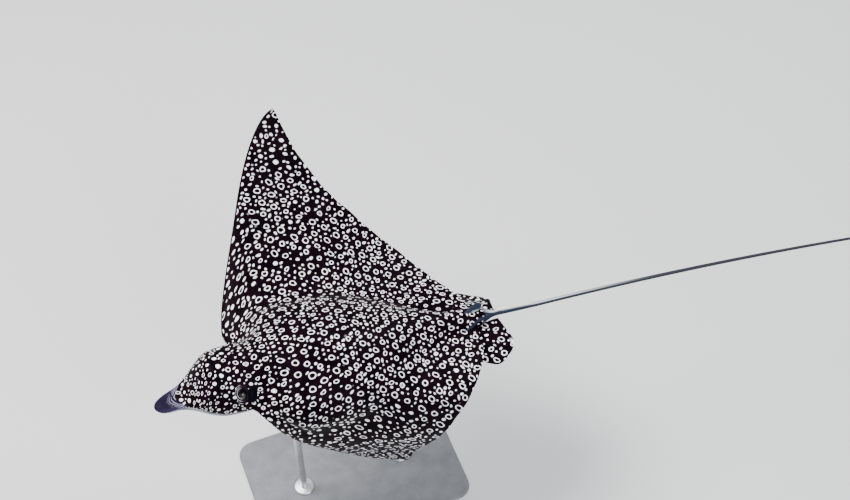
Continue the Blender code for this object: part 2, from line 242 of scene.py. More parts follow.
def skinLevels(a, s, half, side):  # side 1 is the upper sheet, -1 the lower one
    top, bottom, edge = flatLevels(a, s)
    closing = rounded((half - np.abs(s)) / tail["rimRound"])
    body = edge + (np.where(side > 0, top, bottom) - edge) * closing
    tube = tailLevel(a) + side * tailRadius(a) * np.sqrt(1.0 - rimShare(s, half) ** 2)
    return mix(body, tube, tailJoin(a))


pelvic = {
    "start": 0.590,
    "length": 0.099,
    "width": 0.097,
    "level": -0.0240,
    "droop": {"left": 0.08, "right": 0.44},
    "rootDepth": 0.010,
    "rootChord": 0.88,
    "frontWidth": 0.68,
    "besideTail": 0.0080,
    "gap": 0.0014,
    "thickness": 0.0018,
    "rimWidth": 0.02,
}


def pelvicFin(along, f, side, face):
    root = pelvic["start"] + along * pelvic["length"] * pelvic["rootChord"]
    a = pelvic["start"] + along * pelvic["length"] * mix(pelvic["rootChord"], 1.0, f)
    sink = pelvic["rootDepth"] * (1.0 - smooth((root - 0.640) / 0.015))
    body = bodyHalf(np.minimum(root, ray["bodyEnd"]))
    edge = mix(body, pelvic["besideTail"], smooth((root - 0.640) / 0.020)) + pelvic["gap"]
    swell = np.sin(math.pi * (0.05 + 0.90 * along)) ** 0.34
    outer = edge + pelvic["width"] * swell * mix(pelvic["frontWidth"], 1.0, along)
    s = (edge - sink) + (outer - edge + sink) * f
    fromRoot = np.clip((s - edge) / (outer - edge), 0.0, 1.0)
    half = ray["thinEdge"] + pelvic["thickness"] * np.sqrt(np.clip(1.0 - fromRoot ** 2, 0.0, 1.0)) * swell
    half = half * rounded(np.minimum(np.minimum(along, 1.0 - along), 1.0 - f) / pelvic["rimWidth"])
    level = pelvic["level"] + 0.008 * along - pelvic["droop"][side] * (s - edge)
    ripple = 0.0010 * np.sin(f * 9.0 + along * 14.0) * smooth((f - 0.4) / 0.5)
    return a, s, level + ripple + face * half


dorsal = {
    "start": 0.604,
    "length": 0.031,
    "height": 0.025,
    "rake": 0.015,
    "rootDepth": 0.12,  # of the height
    "narrowing": 0.45,
    "crown": 0.20,
    "edge": 0.0004,
    "thickness": 0.0024,
    "rimWidth": 0.05,
}


def dorsalFin(along, h, face):
    h = h * (1.0 + dorsal["rootDepth"]) - dorsal["rootDepth"]
    up = np.maximum(h, 0.0)
    base = dorsal["length"] * along
    a = dorsal["start"] + base * (1.0 - dorsal["narrowing"] * up ** 2) + dorsal["rake"] * h
    root = flatLevels(dorsal["start"] + base, np.full_like(a, 0.003))[0] + 0.0006
    level = root + dorsal["height"] * h * (1.0 - dorsal["crown"] * (1.0 - np.sin(math.pi * along)))
    swell = (1.0 - 0.8 * up) * np.sin(math.pi * (0.06 + 0.88 * along))
    half = dorsal["edge"] + dorsal["thickness"] * swell
    half = half * rounded(np.minimum(np.minimum(along, 1.0 - along), 1.0 - h) / dorsal["rimWidth"])
    return a, face * half, level


# A run of rows is its first and last station, its count and how its rows crowd
skin = {
    "columns": 140,
    "rowRuns": ((0.0, 0.060, 34, 1.7), (0.060, 0.132, 34, 1.0), (0.132, 0.190, 50, 1.0),
                (0.190, 0.330, 46, 1.0), (0.330, 0.612, 70, 1.0), (0.612, 0.6295, 20, 0.7),
                (0.6295, 0.700, 22, 1.0), (0.700, 2.445, 30, 1.0), (2.445, 2.4498, 3, 0.6)),
    "pelvicGrid": (30, 34),
    "dorsalGrid": (16, 20),
    "innerPower": (1.15, 1.60),  # where the body is narrow, and where it is wide
    "outerPower": (1.95, 1.35),
    "mergeDistance": 3e-6,
    "headMarks": 0.27,  # how much smaller the marks are on the head
}


def rowStations():
    rows = [np.array([0.0])]
    for start, end, count, power in skin["rowRuns"]:
        rows.append(start + (end - start) * (np.arange(1, count + 1) / count) ** power)
    return np.concatenate(rows)


def columnShare(f, half):  # columns crowd to the midline and the rim
    wide = smooth((half - 0.08) / 0.10)
    inner = mix(*skin["innerPower"], wide)
    outer = mix(*skin["outerPower"], wide)
    return np.sign(f) * (1.0 - (1.0 - np.abs(f) ** inner) ** outer)


def arcLengths(points):  # length along each row from its middle column, with sign
    step = np.linalg.norm(np.diff(points, axis=1), axis=2)
    along = np.concatenate([np.zeros((len(points), 1)), np.cumsum(step, axis=1)], axis=1)
    return along - along[:, points.shape[1] // 2][:, None]


markStations = np.linspace(0.0, 0.30, 301)
markSizes = 1.0 - skin["headMarks"] * (1.0 - smooth((markStations - 0.13) / 0.13))


def markOffsets():  # the marks are smaller on the head and keep their shape down the forehead
    slope = np.gradient(flatLevels(markStations, 0.0 * markStations)[0], markStations)
    extra = np.hypot(1.0, slope) / markSizes - 1.0
    return -np.cumsum(extra[::-1])[::-1] * (markStations[1] - markStations[0])


markShifts = markOffsets()


def bodySheet(f, face):
    a = np.tile(rowStations()[:, None], (1, f.shape[1]))
    half = skinHalf(a)
    s = half * columnShare(f * 2.0 - 1.0, half)
    z = skinLevels(a, s, half, face)
    onBody = a.ravel()[:, None] < ray["bodyEnd"]
    points = np.where(onBody, bendWings(a.ravel(), s.ravel(), z.ravel()), trailing(a, s, z))
    arc = arcLengths(points.reshape(a.shape + (3,))) / ray["discWidth"]
    marks = (arc / np.interp(a, markStations, markSizes), a + np.interp(a, markStations, markShifts))
    return points, a, s, arc, marks, rimShare(s, half)


def dorsalSheet(f, g, face):
    height = np.sin(0.5 * math.pi * f)
    a, s, z = dorsalFin(g, height, face)
    arc = dorsal["height"] * height
    return trailing(a, s, z), a, s, arc, (arc, a), np.zeros_like(a)


def pelvicSheet(f, g, face, side):
    along = 0.5 * g + 0.5 * (0.5 - 0.5 * np.cos(math.pi * g))
    a, s, z = pelvicFin(along, np.sin(0.5 * math.pi * f), side, face)
    s = s if side == "left" else -s
    rim = smooth((g - 0.80) / 0.17) * smooth((f - 0.30) / 0.20)
    return bendWings(a.ravel(), s.ravel(), z.ravel()), a, s, s, (s, a), rim


def readAll(items, key, width=1, kind=float):
    values = np.empty(len(items) * width, dtype=kind)
    items.foreach_get(key, values)
    return values.reshape(-1, width) if width > 1 else values


def makePiece(name, build, mesh=None):  # a smooth and linked object from a finished bmesh
    mesh = mesh or bpy.data.meshes.new(name)
    build.to_mesh(mesh)
    build.free()
    mesh.shade_smooth()
    piece = bpy.data.objects.new(name, mesh)
    scene.collection.objects.link(piece)
    return piece


def buildSkin():
    # two grids make the body's back and belly, and two more each fin
    grids = []
    for name, across, along in (("body", skin["columns"], len(rowStations()) - 1),
                                ("left", *skin["pelvicGrid"]), ("right", *skin["pelvicGrid"]),
                                ("dorsal", *skin["dorsalGrid"])):
        grids += [(name, 1.0, across, along), (name, -1.0, across, along)]
    build = bmesh.new()
    for index, (name, face, across, along) in enumerate(grids):
        bmesh.ops.create_grid(build, x_segments=across, y_segments=along, size=0.5,
                              matrix=Matrix.Translation((0.0, 0.0, float(index))))
    mesh = bpy.data.meshes.new("skin")
    build.to_mesh(mesh)
    build.free()
    flat = readAll(mesh.vertices, "co", 3)
    sheet = np.rint(flat[:, 2]).astype(int)
    place = np.zeros((len(flat), 3))
    maps = {key: np.zeros((len(flat), 2)) for key in ("chart", "planform", "marks")}
    upper = np.zeros(len(flat))
    rim = np.zeros(len(flat))
    for index, (name, face, across, along) in enumerate(grids):
        pick = np.where(sheet == index)[0]
        column = np.rint((flat[pick, 0] + 0.5) * across).astype(int)
        row = np.rint((flat[pick, 1] + 0.5) * along).astype(int)
        pick = pick[np.lexsort((column, row))]
        f = np.tile(np.arange(across + 1) / across, (along + 1, 1))
        g = np.tile((np.arange(along + 1) / along)[:, None], (1, across + 1))
        if name == "body":
            points, a, s, arc, marks, edge = bodySheet(f, face)
        elif name == "dorsal":
            points, a, s, arc, marks, edge = dorsalSheet(f, g, face)
        else:
            points, a, s, arc, marks, edge = pelvicSheet(f, g, face, name)
        place[pick] = points
        for key, pair in (("chart", (s, a)), ("planform", (arc, a)), ("marks", marks)):
            maps[key][pick] = np.stack([pair[0].ravel(), pair[1].ravel()], axis=1)
        upper[pick] = 1.0 if face > 0 else 0.0
        rim[pick] = edge.ravel()
    mesh.vertices.foreach_set("co", place.ravel())
    paintSkin(mesh, sheet, maps, upper, rim, len(grids))
    build = bmesh.new()
    build.from_mesh(mesh)
    bmesh.ops.remove_doubles(build, verts=build.verts, dist=skin["mergeDistance"])
    bmesh.ops.recalc_face_normals(build, faces=build.faces)
    return makePiece("skin", build, mesh)


layout = {
    "scale": 0.755,
    "body": (0.388, 0.004),
    "bellyUp": 0.500,
    "tailFrom": 0.652,
    "tail": (0.815, 0.006),
    "tailApart": 0.045,
    "tailScale": 0.548,
    "fins": (0.900, 0.020),
    "finsApart": 0.095,
    "finsFrom": 0.600,
    "finWidth": 0.85,
}


def paintSkin(mesh, sheet, maps, upper, rim, sheets):
    # marks and chart carry the pattern, OFBake the piece's own layout, zones the side and rims
    loops = readAll(mesh.loops, "vertex_index", kind=np.int32)
    starts = readAll(mesh.polygons, "loop_start", kind=np.int32)
    totals = readAll(mesh.polygons, "loop_total", kind=np.int32)
    chart = maps["chart"][loops]
    faceStation = np.repeat(np.add.reduceat(chart[:, 1], starts) / totals, totals)
    loopSheet = sheet[loops]
    onBody = loopSheet < 2
    onTail = onBody & (faceStation > layout["tailFrom"])
    arc, a = maps["planform"][loops].T
    scale = layout["scale"]
    across = np.where(onBody, layout["body"][0] + scale * arc, 0.0)
    along = layout["body"][1] + scale * a + np.where(loopSheet == 1, layout["bellyUp"], 0.0)
    across = np.where(onTail, layout["tail"][0] + layout["tailApart"] * loopSheet + scale * arc, across)
    along = np.where(onTail, layout["tail"][1] + layout["tailScale"] * (a - layout["tailFrom"]), along)
    for index in range(2, sheets):
        pick = loopSheet == index
        away = np.abs(chart[:, 0]) if index < sheets - 2 else arc
        up = layout["fins"][1] + layout["finsApart"] * (index - 2)
        across = np.where(pick, layout["fins"][0] + scale * away * layout["finWidth"], across)
        along = np.where(pick, up + scale * (a - layout["finsFrom"]), along)
    for name, pair in (("OFBake", (across, along)), ("marks", maps["marks"][loops].T), ("chart", chart.T)):
        layer = mesh.uv_layers.new(name=name, do_init=False)
        layer.uv.foreach_set("vector", np.stack(pair, axis=1).astype(np.float32).ravel())
    zones = np.stack([upper[loops], onBody, loopSheet >= sheets - 2, rim[loops]], axis=1)
    layer = mesh.attributes.new("zones", "FLOAT_COLOR", "CORNER")
    layer.data.foreach_set("color", zones.astype(np.float32).ravel())


eye = {
    "station": 0.148,
    "offset": 0.0487,
    "level": 0.0198,
    "radius": 0.0105,
    "look": (0.86, -0.24, 0.45),
    "opening": 43.0,  # degrees from the line of sight to the lid's edge
    "lid": (0.90, 1.075),  # of the radius, inside the opening and outside it
    "lidBlend": 0.12,
    "proud": 0.05,
    "pupil": 0.36,
    "iris": 0.60,
    "irisDark": (0.006, 0.005, 0.005, 1.0),
    "irisLight": (0.026, 0.018, 0.013, 1.0),
    "irisRim": (0.034, 0.030, 0.028, 1.0),
    "ball": (0.015, 0.015, 0.022, 1.0),
    "black": (0.002, 0.002, 0.003, 1.0),
}

carving = {
    "spiracle": {"at": (0.1665, 0.0560), "radii": (0.0086, 0.0080), "depth": 0.0075, "lip": 0.0012},
    "brow": {"at": (0.150, 0.0410), "radii": (0.020, 0.0095), "rise": 0.0026},
    "mouth": {"station": 0.0985, "halfWidth": 0.0265, "curve": 0.0010, "depth": 0.0034, "line": 0.0026},
    "nostril": {"at": (0.0850, 0.0205), "radii": (0.0036, 0.0050), "depth": 0.0030},
    "curtain": {"start": 0.0800, "end": 0.0968, "halfWidth": 0.0180, "rise": 0.0016},
    "gills": {"start": 0.222, "spacing": 0.0180, "count": 5, "offset": 0.0690, "inset": 0.0040,
              "halfWidth": 0.0110, "depth": 0.0014, "bow": 0.0022, "line": 0.0024},
    "vent": {"at": (0.5960, 0.0), "radii": (0.0110, 0.0032), "depth": 0.0020},
    "trailRipple": 0.0016,
}


def bell(x):
    return np.exp(-x * x)


def dent(a, out, spec):
    return np.hypot((a - spec["at"][0]) / spec["radii"][0], (out - spec["at"][1]) / spec["radii"][1])


def gillPlace(k):
    spec = carving["gills"]
    return spec["start"] + spec["spacing"] * k, spec["offset"] - spec["inset"] * k


def eyeLook(sign):
    return Vector((sign * eye["look"][0], eye["look"][1], eye["look"][2])).normalized()


def eyeCentre(sign):
    one = np.array([1.0])
    return bendWings(one * eye["station"], one * eye["offset"] * sign, one * eye["level"])[0]


def pushLids(place, back, sign):  # the skin is pushed off the eye and closes round it
    radius = eye["radius"] * ray["discWidth"]
    centre = eyeCentre(sign)
    spoke = place - centre
    away = np.linalg.norm(spoke, axis=1)
    turn = np.degrees(np.arccos(np.clip(spoke @ np.array(eyeLook(sign)) / np.maximum(away, 1e-9), -1.0, 1.0)))
    lid = radius * mix(*eye["lid"], smooth((turn - eye["opening"]) / 6.0))
    near = back & (away < 1.9 * radius) & (turn < 80.0)
    blend = eye["lidBlend"] * radius
    soft = np.clip(0.5 + 0.5 * (lid - away) / blend, 0.0, 1.0)
    pushed = mix(away, lid, soft) + blend * soft * (1.0 - soft)
    place[near] = centre + spoke[near] * (pushed[near] / away[near])[:, None]


def carveSkin(piece):
    # the head's openings, brows and lids, the gills and the wings' rippled rear edge
    mesh = piece.data
    count = len(mesh.vertices)
    loops = readAll(mesh.loops, "vertex_index", kind=np.int32)
    uses = np.bincount(loops, minlength=count)
    chart = readAll(mesh.uv_layers["chart"].uv, "vector", 2, np.float32)
    zones = readAll(mesh.attributes["zones"].data, "color", 4, np.float32)
    s, a, upper, onBody = (np.bincount(loops, values, count) / uses
                           for values in (chart[:, 0], chart[:, 1], zones[:, 0], zones[:, 1]))
    out = np.abs(s)
    back = (upper > 0.9) & (onBody > 0.9)
    belly = (upper < 0.1) & (onBody > 0.9)
    rise = np.zeros(count)

    spec = carving["spiracle"]
    away = dent(a, out, spec)
    rise -= back * spec["depth"] * (1.0 - smooth((away - 0.35) / 0.75))
    rise += back * spec["lip"] * bell((away - 1.35) / 0.30)
    spec = carving["brow"]
    rise += back * spec["rise"] * bell(dent(a, out, spec))
    spec = carving["mouth"]
    across = np.clip(out / spec["halfWidth"], 0.0, 1.0)
    line = spec["station"] + spec["curve"] * across ** 2
    rise -= belly * spec["depth"] * bell((a - line) / spec["line"]) * (1.0 - across ** 4)
    spec = carving["nostril"]
    rise -= belly * spec["depth"] * (1.0 - smooth((dent(a, out, spec) - 0.3) / 0.9))
    spec = carving["curtain"]
    flap = smooth((a - spec["start"]) / 0.010) * (1.0 - smooth((a - spec["end"]) / 0.0022))
    notch = 1.0 - 0.7 * bell(s / 0.0025) * smooth((a - spec["end"] + 0.008) / 0.006)
    rise += belly * spec["rise"] * flap * (1.0 - smooth((out - spec["halfWidth"]) / 0.004)) * notch
    spec = carving["gills"]
    for k in range(spec["count"]):
        station, offset = gillPlace(k)
        across = np.clip(np.abs(out - offset) / spec["halfWidth"], 0.0, 1.0)
        line = station + spec["bow"] * ((out - offset) / spec["halfWidth"]) ** 2
        flap = bell((a - line + 0.0040) / 0.0035) * 0.5
        rise += belly * spec["depth"] * (flap - bell((a - line) / spec["line"])) * (1.0 - across ** 3)
    spec = carving["vent"]
    rise -= belly * spec["depth"] * bell(dent(a, out, spec))

    reach, chord = chordShare(a, s)
    wave = np.sin(out * 62.0 + 0.7 * np.sin(out * 23.0)) * smooth((chord - 0.72) / 0.28)
    wave = wave * smooth((reach - 0.05) / 0.2) * smooth((1.0 - reach) / 0.15)
    wave = wave * (a > ray["wingStart"]) * (onBody > 0.5)
    rise += carving["trailRipple"] * wave * np.where(upper > 0.5, 1.0, -1.0)

    normal = readAll(mesh.vertices, "normal", 3)
    place = readAll(mesh.vertices, "co", 3) + normal * (rise * ray["discWidth"])[:, None]
    for sign in (1.0, -1.0):
        pushLids(place, back, sign)
    mesh.vertices.foreach_set("co", place.ravel())
    mesh.update()


skinPiece = buildSkin()
carveSkin(skinPiece)
print("skin shaped:", len(skinPiece.data.polygons), "faces")


# Materials are node trees. These helpers keep their sums readable.
def newMaterial(name):
    material = bpy.data.materials.new(name)
    material.use_nodes = True
    tree = material.node_tree
    return material, tree, tree.nodes["Principled BSDF"]


def addNode(tree, kind, **settings):
    node = tree.nodes.new(kind)
    for key, value in settings.items():
        setattr(node, key, value)
    return node


def wire(tree, value, socket):
    if isinstance(value, bpy.types.NodeSocket):
        tree.links.new(value, socket)
    else:
        socket.default_value = value


def calc(tree, operation, *values, clamp=False):
    node = addNode(tree, "ShaderNodeMath", operation=operation, use_clamp=clamp)
    for value, socket in zip(values, node.inputs):
        wire(tree, value, socket)
    return node.outputs[0]


def chain(tree, operation, values):
    total = values[0]
    for value in values[1:]:
        total = calc(tree, operation, total, value)
    return total


def times(tree, *values):
    return chain(tree, "MULTIPLY", values)


def plus(tree, *values):
    return chain(tree, "ADD", values)


def largest(tree, *values):
    return chain(tree, "MAXIMUM", values)


def minus(tree, first, second, clamp=False):
    return calc(tree, "SUBTRACT", first, second, clamp=clamp)


def linear(tree, value, factor, offset):
    return calc(tree, "MULTIPLY_ADD", value, factor, offset)


def vectorCalc(tree, operation, *values, out=0):
    node = addNode(tree, "ShaderNodeVectorMath", operation=operation)
    for value, socket in zip(values, node.inputs):
        wire(tree, value, socket)
    return node.outputs[out]


def ramp(tree, value, low, high, start=0.0, end=1.0):  # eased step from low to high
    node = addNode(tree, "ShaderNodeMapRange", interpolation_type="SMOOTHSTEP")
    for given, socket in zip((value, low, high, start, end), node.inputs):
        wire(tree, given, socket)
    return node.outputs[0]


def blendColours(tree, share, first, second):
    node = addNode(tree, "ShaderNodeMix", data_type="RGBA")
    wire(tree, share, node.inputs[0])
    wire(tree, first, node.inputs[6])
    wire(tree, second, node.inputs[7])
    return node.outputs[2]


def split(tree, vector, colour=False):
    node = addNode(tree, "ShaderNodeSeparateColor" if colour else "ShaderNodeSeparateXYZ")
    wire(tree, vector, node.inputs[0])
    return node.outputs[0], node.outputs[1], node.outputs[2]


def join(tree, x, y):
    node = addNode(tree, "ShaderNodeCombineXYZ")
    wire(tree, x, node.inputs[0])
    wire(tree, y, node.inputs[1])
    return node.outputs[0]


def length(tree, x, y):
    return vectorCalc(tree, "LENGTH", join(tree, x, y), out=1)


def noise(tree, place, scale, detail=2.0, roughness=0.5, colour=False):
    node = addNode(tree, "ShaderNodeTexNoise")
    wire(tree, place, node.inputs["Vector"])
    node.inputs["Scale"].default_value = scale
    node.inputs["Detail"].default_value = detail
    node.inputs["Roughness"].default_value = roughness
    return node.outputs["Color"] if colour else node.outputs["Fac"]


def cells(tree, place, spacing, randomness):  # jittered points in rows a third of a turn apart
    x, y, z = split(tree, place)
    row = times(tree, y, hide["rowPitch"] / spacing)
    column = minus(tree, calc(tree, "DIVIDE", x, spacing), times(tree, row, 0.5))
    node = addNode(tree, "ShaderNodeTexVoronoi", voronoi_dimensions="2D", feature="F1")
    wire(tree, join(tree, column, row), node.inputs["Vector"])
    node.inputs["Scale"].default_value = 1.0
    node.inputs["Randomness"].default_value = randomness
    column, row, z = split(tree, node.outputs["Position"])
    x = times(tree, plus(tree, column, times(tree, row, 0.5)), spacing)
    y = times(tree, row, spacing / hide["rowPitch"])
    return join(tree, x, y), split(tree, node.outputs["Color"], colour=True)


def uvPlace(tree, name):
    return addNode(tree, "ShaderNodeUVMap", uv_map=name).outputs[0]


def bump(tree, height, strength, distance, below=None):
    node = addNode(tree, "ShaderNodeBump")
    node.inputs["Strength"].default_value = strength
    node.inputs["Distance"].default_value = distance
    wire(tree, height, node.inputs["Height"])
    if below is not None:
        tree.links.new(below, node.inputs["Normal"])
    return node.outputs[0]


def fineGrain():  # shared: soft mottling and a fine relief, from a place in metres
    group = bpy.data.node_groups.new("fineGrain", "ShaderNodeTree")
    group.interface.new_socket("Place", in_out="INPUT", socket_type="NodeSocketVector")
    group.interface.new_socket("Size", in_out="INPUT", socket_type="NodeSocketFloat")
    group.interface.new_socket("Mottle", in_out="OUTPUT", socket_type="NodeSocketFloat")
    group.interface.new_socket("Relief", in_out="OUTPUT", socket_type="NodeSocketFloat")
    source = group.nodes.new("NodeGroupInput")
    result = group.nodes.new("NodeGroupOutput")
    sized = vectorCalc(group, "SCALE", source.outputs[0])
    group.links.new(calc(group, "DIVIDE", 1.0, source.outputs[1]), sized.node.inputs[3])
    group.links.new(ramp(group, noise(group, sized, 1.0, 4.0, 0.6), 0.3, 0.7), result.inputs[0])
    group.links.new(noise(group, sized, 14.0, 3.0, 0.55), result.inputs[1])
    return group


grainGroup = fineGrain()


def addGrain(tree, size):
    node = addNode(tree, "ShaderNodeGroup", node_tree=grainGroup)
    place = addNode(tree, "ShaderNodeTexCoord").outputs["Object"]
    tree.links.new(place, node.inputs[0])
    node.inputs[1].default_value = size
    return node.outputs[0], node.outputs[1]


# The pattern's sizes are in disc widths. A run is where a mask is 0 and where it is 1.
hide = {
    "ground": (0.0016, 0.0006, 0.0016, 1.0),
    "groundWarm": (0.0055, 0.0012, 0.0034, 1.0),
    "ring": (0.96, 0.925, 0.955, 1.0),
    "belly": (0.72, 0.73, 0.74, 1.0),
    # the underside's dusk: the wings' dusky margins, and painted shade under the head
    "bellyDuskAndShade": (0.12, 0.13, 0.17, 1.0),
    "bill": (0.010, 0.007, 0.020, 1.0),
    "billEdge": (0.020, 0.013, 0.040, 1.0),
    "billLine": (0.46, 0.44, 0.58, 1.0),
    "bellyWarm": (0.74, 0.70, 0.69, 1.0),
    # slate is the small fin's own colour, and also painted shade in the crease beside the tail and on the
    # tail's base
    "slate": (0.022, 0.026, 0.048, 1.0),
    "slateLight": (0.040, 0.050, 0.082, 1.0),
    # a painted highlight along the tail's top, and also the pale patch at the small fin's base
    "tailHighlightAndPatch": (0.42, 0.48, 0.52, 1.0),
    "tailDark": (0.030, 0.030, 0.040, 1.0),
    "ringSpacing": 0.0252,
    "ringScatter": 0.29,
    "ringLeast": 0.0047,
    "ringRange": 0.0022,
    "ringLine": 0.0020,
    "ringTurn": 0.8,
    "ringSqueeze": 0.42,
    "dotSpacing": 0.0114,
    "dotScatter": 0.42,
    "dotLeast": 0.0012,
    "dotRange": 0.0011,
    "dotStretch": -0.58,
    "gap": 0.0017,
    "soft": 0.0005,
    "rowPitch": 1.1547,  # 2 / sqrt 3, for even cells
    "drift": (3.0, 0.0, 0.045),
    "wobble": (95.0, 1.0, 0.0042),
    "headRun": (0.235, 0.120),
    "foldRun": (0.165, 0.225),
    "foldStretch": 0.24,
    "crestLine": (-0.42, 0.275),  # the right wing's root, where a fold draws the marks together
    "crestRun": (0.030, 0.010),
    "bandRun": (0.0084, 0.0051),
    "lids": {"centre": 0.0535, "radii": (0.0125, 0.0105)},
    # painted shade for the spiracle's opening
    "spiracle": (0.004, 0.004, 0.009, 1.0),
    # painted shade for the belly's slits, mouth line, nostrils and vent
    "slitShade": (0.035, 0.028, 0.034, 1.0),
    "specular": 0.015,
}


def marginNodes(tree, place):  # how far inside the outline a place is, along s
    longest, widest = 0.70, 0.55
    x, y, z = split(tree, place)
    curve = addNode(tree, "ShaderNodeFloatCurve")
    points = curve.mapping.curves[0].points
    while len(points) > 2:
        points.remove(points[-1])
    stations = np.concatenate([np.linspace(0.0, ray["wingStart"], 9),
                               np.linspace(0.178, ray["tipStation"], 9), np.linspace(0.365, 0.66, 13)])
    for station in stations:
        wide = float(np.maximum(discHalf(station), bodyHalf(station) if station > ray["wingStart"] else 0.0))
        points.new(float(station) / longest, wide / widest)
    points[0].location = (0.0, 0.0)
    curve.mapping.update()
    tree.links.new(calc(tree, "DIVIDE", y, longest), curve.inputs["Value"])
    half = times(tree, curve.outputs[0], widest)
    out = calc(tree, "ABSOLUTE", x)
    return minus(tree, half, out), out, y


def ringDistance(tree, place):
    # distance from a place to the middle of its ring's cell, drawn out a little fore and aft
    centre, chance = cells(tree, place, hide["ringSpacing"], hide["ringScatter"])
    local = vectorCalc(tree, "SUBTRACT", place, centre)
    turn = addNode(tree, "ShaderNodeVectorRotate", rotation_type="Z_AXIS")
    wire(tree, local, turn.inputs["Vector"])
    wire(tree, linear(tree, chance[1], 2.0 * hide["ringTurn"], -hide["ringTurn"]), turn.inputs["Angle"])
    x, y, z = split(tree, turn.outputs[0])
    squeeze = linear(tree, chance[2], hide["ringSqueeze"], 1.0)
    return length(tree, times(tree, x, squeeze), y), local, centre, chance


def strayed(tree, place, drawn, scale, detail, reach):  # drawn, shifted by a noise over the place
    offset = noise(tree, place, scale, detail, colour=True)
    offset = vectorCalc(tree, "SUBTRACT", offset, (0.5, 0.5, 0.5))
    return vectorCalc(tree, "MULTIPLY_ADD", offset, (reach, reach, 0.0), drawn)


def spotZones(tree, centre, x, y):
    # where marks are small, plain or sparse: head, front margin, folded wing, right wing's root
    margin, out, station = marginNodes(tree, centre)
    crest = calc(tree, "ABSOLUTE", plus(tree, linear(tree, y, *hide["crestLine"]), x))
    crest = times(tree, ramp(tree, crest, *hide["crestRun"]), ramp(tree, y, 0.30, 0.36))
    front = times(tree, ramp(tree, station, 0.46, 0.36), ramp(tree, station, 0.150, 0.190))
    outer = largest(tree, ramp(tree, margin, 0.085, 0.030), ramp(tree, out, 0.33, 0.45))
    head = ramp(tree, station, *hide["headRun"])
    return head, times(tree, outer, front), ramp(tree, x, *hide["foldRun"]), crest


def ringNodes(tree, distance, chance, zones):
    head, outer, folded, crest = zones
    soft = hide["soft"]
    bold = largest(tree, times(tree, head, 0.36), times(tree, outer, 0.55), times(tree, folded, 0.38))
    plain = ramp(tree, minus(tree, plus(tree, bold, 0.12), chance[0]), 0.0, 0.02)
    radius = linear(tree, chance[1], hide["ringRange"], hide["ringLeast"])
    smaller = times(tree, plain, linear(tree, head, 0.16, -0.33))
    radius = times(tree, radius, plus(tree, linear(tree, crest, -0.22, smaller), 1.0))
    disc = ramp(tree, minus(tree, distance, radius), soft, -soft)
    hole = ramp(tree, minus(tree, distance, minus(tree, radius, hide["ringLine"])), soft, -soft)
    return minus(tree, disc, times(tree, hole, minus(tree, 1.0, plain)), clamp=True)


def dotNodes(tree, drawn, zones):  # dots keep clear of the rings and some are drawn out round them
    head, outer, folded, crest = zones
    spot, chance = cells(tree, drawn, hide["dotSpacing"], hide["dotScatter"])
    away, fromRing, centre, ringChance = ringDistance(tree, spot)
    reach = linear(tree, ringChance[1], hide["ringRange"], hide["ringLeast"])
    size = linear(tree, chance[0], hide["dotRange"], hide["dotLeast"])
    clear = minus(tree, away, plus(tree, reach, plus(tree, size, hide["gap"])))
    sparse = largest(tree, times(tree, head, 0.0024), times(tree, folded, 0.0022), times(tree, crest, 0.0045))
    shown = ramp(tree, minus(tree, clear, sparse), 0.0, 0.0004)
    step = vectorCalc(tree, "SUBTRACT", drawn, spot)
    towards = vectorCalc(tree, "DOT_PRODUCT", step, vectorCalc(tree, "NORMALIZE", fromRing), out=1)
    whole = vectorCalc(tree, "LENGTH", step, out=1)
    sideways = minus(tree, times(tree, whole, whole), times(tree, towards, towards))
    sideways = calc(tree, "SQRT", largest(tree, sideways, 0.0))
    stretch = linear(tree, calc(tree, "POWER", chance[2], 1.4), hide["dotStretch"], 1.0)
    oval = length(tree, towards, times(tree, sideways, stretch))
    return times(tree, ramp(tree, minus(tree, oval, size), hide["soft"], -hide["soft"]), shown)


def spotNodes(tree, place):
    # rings with small dots set round them, and plain spots where the rings run out
    drawn = strayed(tree, place, place, *hide["drift"])
    drawn = strayed(tree, place, drawn, *hide["wobble"])
    x, y, z = split(tree, drawn)
    beyond = largest(tree, minus(tree, x, hide["foldRun"][0]), 0.0)
    drawn = join(tree, minus(tree, x, times(tree, beyond, hide["foldStretch"])), y)
    distance, local, centre, chance = ringDistance(tree, drawn)
    zones = spotZones(tree, centre, x, y)
    return largest(tree, ringNodes(tree, distance, chance, zones), dotNodes(tree, drawn, zones))


def ovalMask(tree, x, y, centre, radii, soft=0.3):
    across = calc(tree, "DIVIDE", minus(tree, x, centre[1]), radii[1])
    along = calc(tree, "DIVIDE", minus(tree, y, centre[0]), radii[0])
    return ramp(tree, length(tree, across, along), 1.0 + soft, 1.0 - soft)


